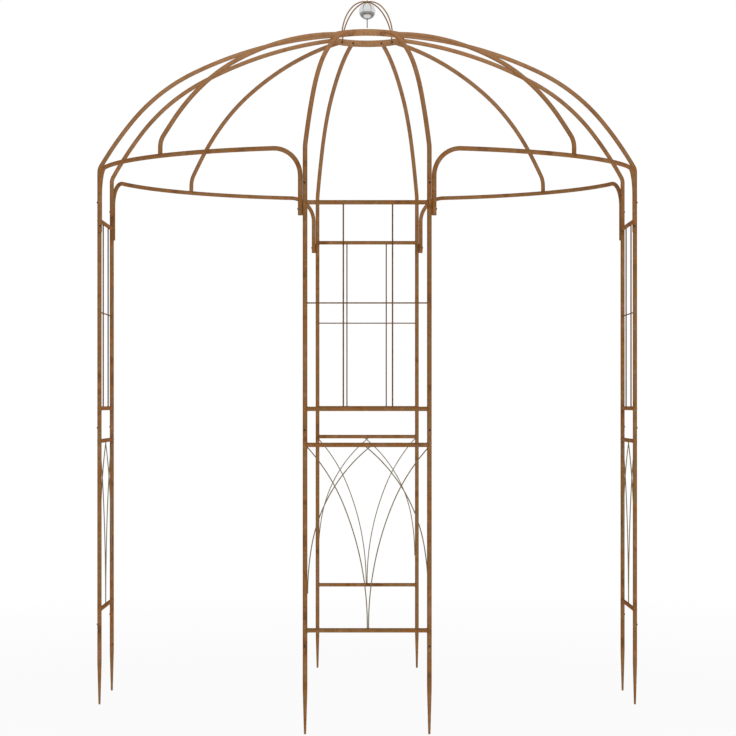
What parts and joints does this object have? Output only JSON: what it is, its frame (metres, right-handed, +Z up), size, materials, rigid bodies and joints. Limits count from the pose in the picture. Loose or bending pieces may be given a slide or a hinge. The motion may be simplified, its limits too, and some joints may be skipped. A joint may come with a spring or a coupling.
{
  "type": "garden pavilion",
  "caption": "Round garden pavilion of rust-brown steel tube: trellis panels on ground spikes, open doorways, a ribbed dome, a crown ring and a mirror ball under crossed hoops.",
  "frame": {"origin": "centre of the plan, level with the tips of the ground spikes", "axes": "+Z up along the axis of the dome; -Y towards the front trellis panel; +X to the right seen from the front"},
  "size_m": [2.3932, 2.3932, 3.1568],
  "materials": {
    "rusty_tube": "rust-brown weathered steel tube, matt",
    "rusty_band": "rust-brown flat steel bar, matt",
    "thin_rod": "grey-brown rusted thin rod, matt",
    "dark_screw": "near-black brown rusted screw",
    "mirror_steel": "polished stainless steel ball",
    "steel_pin": "plain threaded steel rod"
  },
  "bodies": {
    "root": {"front_spikes": "rusty_tube", "front_lower_posts": "rusty_tube", "front_upper_posts": "rusty_tube", "front_cross_bars": "rusty_tube", "front_trellis": "thin_rod", "front_tracery": "thin_rod", "right_spikes": "rusty_tube", "right_lower_posts": "rusty_tube", "right_upper_posts": "rusty_tube", "right_cross_bars": "rusty_tube", "right_trellis": "thin_rod", "right_tracery": "thin_rod", "back_spikes": "rusty_tube", "back_lower_posts": "rusty_tube", "back_upper_posts": "rusty_tube", "back_cross_bars": "rusty_tube", "back_trellis": "thin_rod", "back_tracery": "thin_rod", "left_spikes": "rusty_tube", "left_lower_posts": "rusty_tube", "left_upper_posts": "rusty_tube", "left_cross_bars": "rusty_tube", "left_trellis": "thin_rod", "left_tracery": "thin_rod", "front_rib_a": "rusty_tube", "front_rib_b": "rusty_tube", "right_rib_a": "rusty_tube", "right_rib_b": "rusty_tube", "back_rib_a": "rusty_tube", "back_rib_b": "rusty_tube", "left_rib_a": "rusty_tube", "left_rib_b": "rusty_tube", "door_arch_1": "rusty_tube", "door_arch_2": "rusty_tube", "door_arch_3": "rusty_tube", "door_arch_4": "rusty_tube", "door_rib_1": "rusty_tube", "door_rib_2": "rusty_tube", "door_rib_3": "rusty_tube", "door_rib_4": "rusty_tube", "crown_ring": "rusty_band", "finial_hoops": "thin_rod", "finial_ball": "mirror_steel", "finial_pin": "steel_pin", "screws": "dark_screw"}
  },
  "joints": []
}
